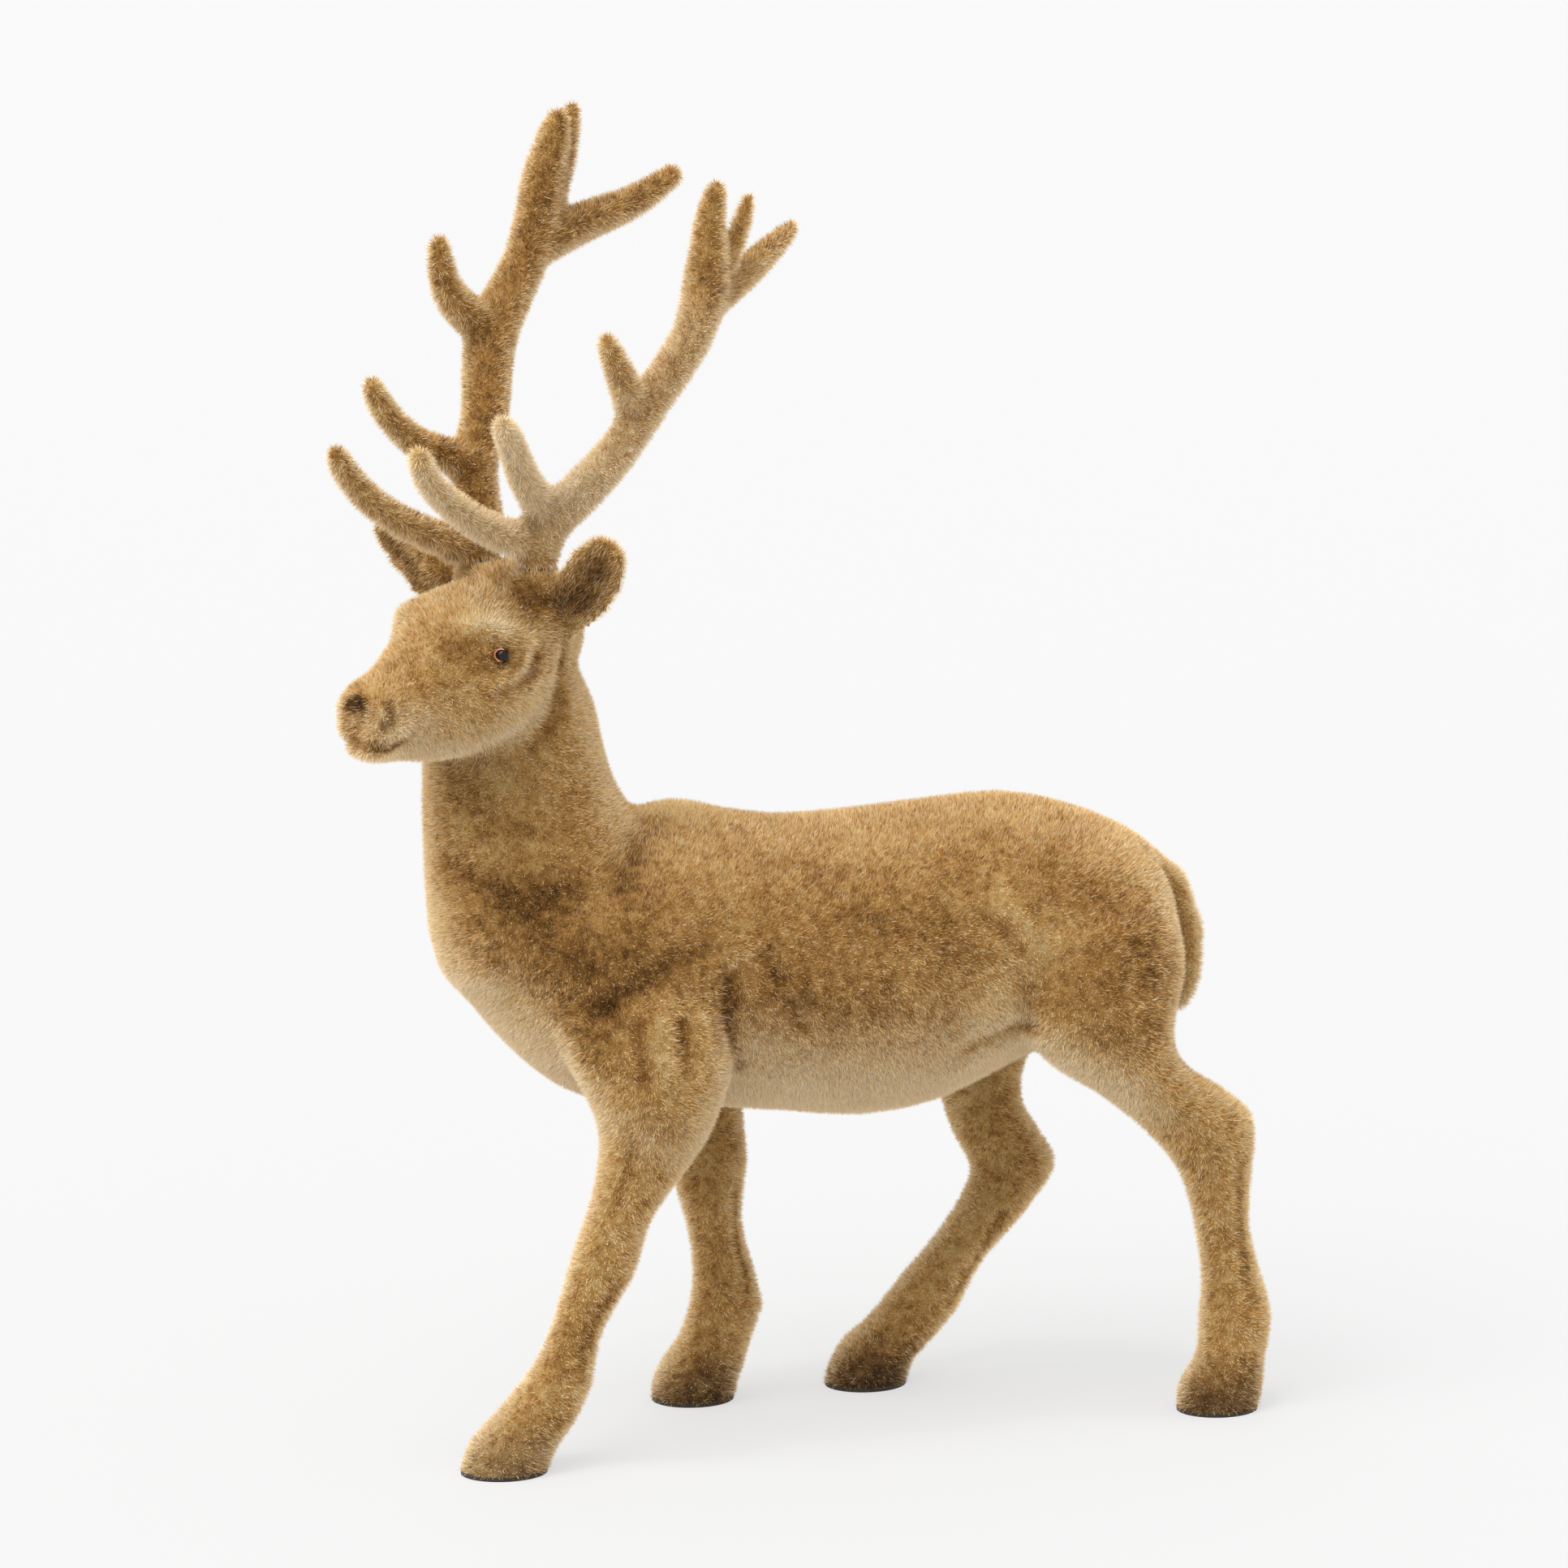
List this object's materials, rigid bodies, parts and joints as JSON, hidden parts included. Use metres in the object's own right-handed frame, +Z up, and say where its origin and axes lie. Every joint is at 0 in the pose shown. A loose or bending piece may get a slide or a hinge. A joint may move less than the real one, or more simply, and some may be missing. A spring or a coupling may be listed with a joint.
{
  "type": "flocked stag figurine",
  "caption": "Standing tabletop stag covered in golden-brown flock, head turned to its left, with plug-in antlers, glass eyes and felt soles.",
  "frame": {"origin": "bottom centre of the bounding box, on the surface that the hooves stand on", "axes": "+Z up; the stag faces -Y, and its left side is +X"},
  "size_m": [0.1462, 0.3464, 0.4693],
  "materials": {
    "flock": "electrostatic flock of 2 to 3 mm straight nylon fibres, golden brown, over moulded rigid foam plastic",
    "steel_rod": "drawn steel rod",
    "sole_felt": "dark pressed felt",
    "softwood": "raw turned and sawn softwood",
    "socket_plastic": "matt dark plastic sleeve",
    "eye_glass": "polished near-black glass bead with an amber rim",
    "wire": "annealed wire"
  },
  "bodies": {
    "figure": {"body_shell_left": "flock", "body_shell_right": "flock", "head_shell": "flock", "ear_left": "flock", "ear_right": "flock", "tail": "flock", "fore_leg_left": "flock", "fore_leg_right": "flock", "hind_leg_left": "flock", "hind_leg_right": "flock", "fore_rod_left": "steel_rod", "fore_rod_right": "steel_rod", "hind_rod_left": "steel_rod", "hind_rod_right": "steel_rod", "fore_sole_left": "sole_felt", "fore_sole_right": "sole_felt", "hind_sole_left": "sole_felt", "hind_sole_right": "sole_felt", "shoulder_block": "softwood", "hip_block": "softwood", "head_block": "softwood", "spine_dowel": "softwood", "neck_post": "softwood", "antler_socket_left": "socket_plastic", "antler_socket_right": "socket_plastic", "eye_left": "eye_glass", "eye_right": "eye_glass", "eye_stem_left": "wire", "eye_stem_right": "wire"},
    "left_antler": {"antler_left": "flock", "antler_peg_left": "softwood"},
    "right_antler": {"antler_right": "flock", "antler_peg_right": "softwood"}
  },
  "joints": [
    {"name": "left_antler_lift", "type": "slide", "parent": "figure", "child": "left_antler", "axis": [0, 0, 1], "range_m": [0, 0.022]},
    {"name": "right_antler_lift", "type": "slide", "parent": "figure", "child": "right_antler", "axis": [0, 0, 1], "range_m": [0, 0.022]}
  ]
}
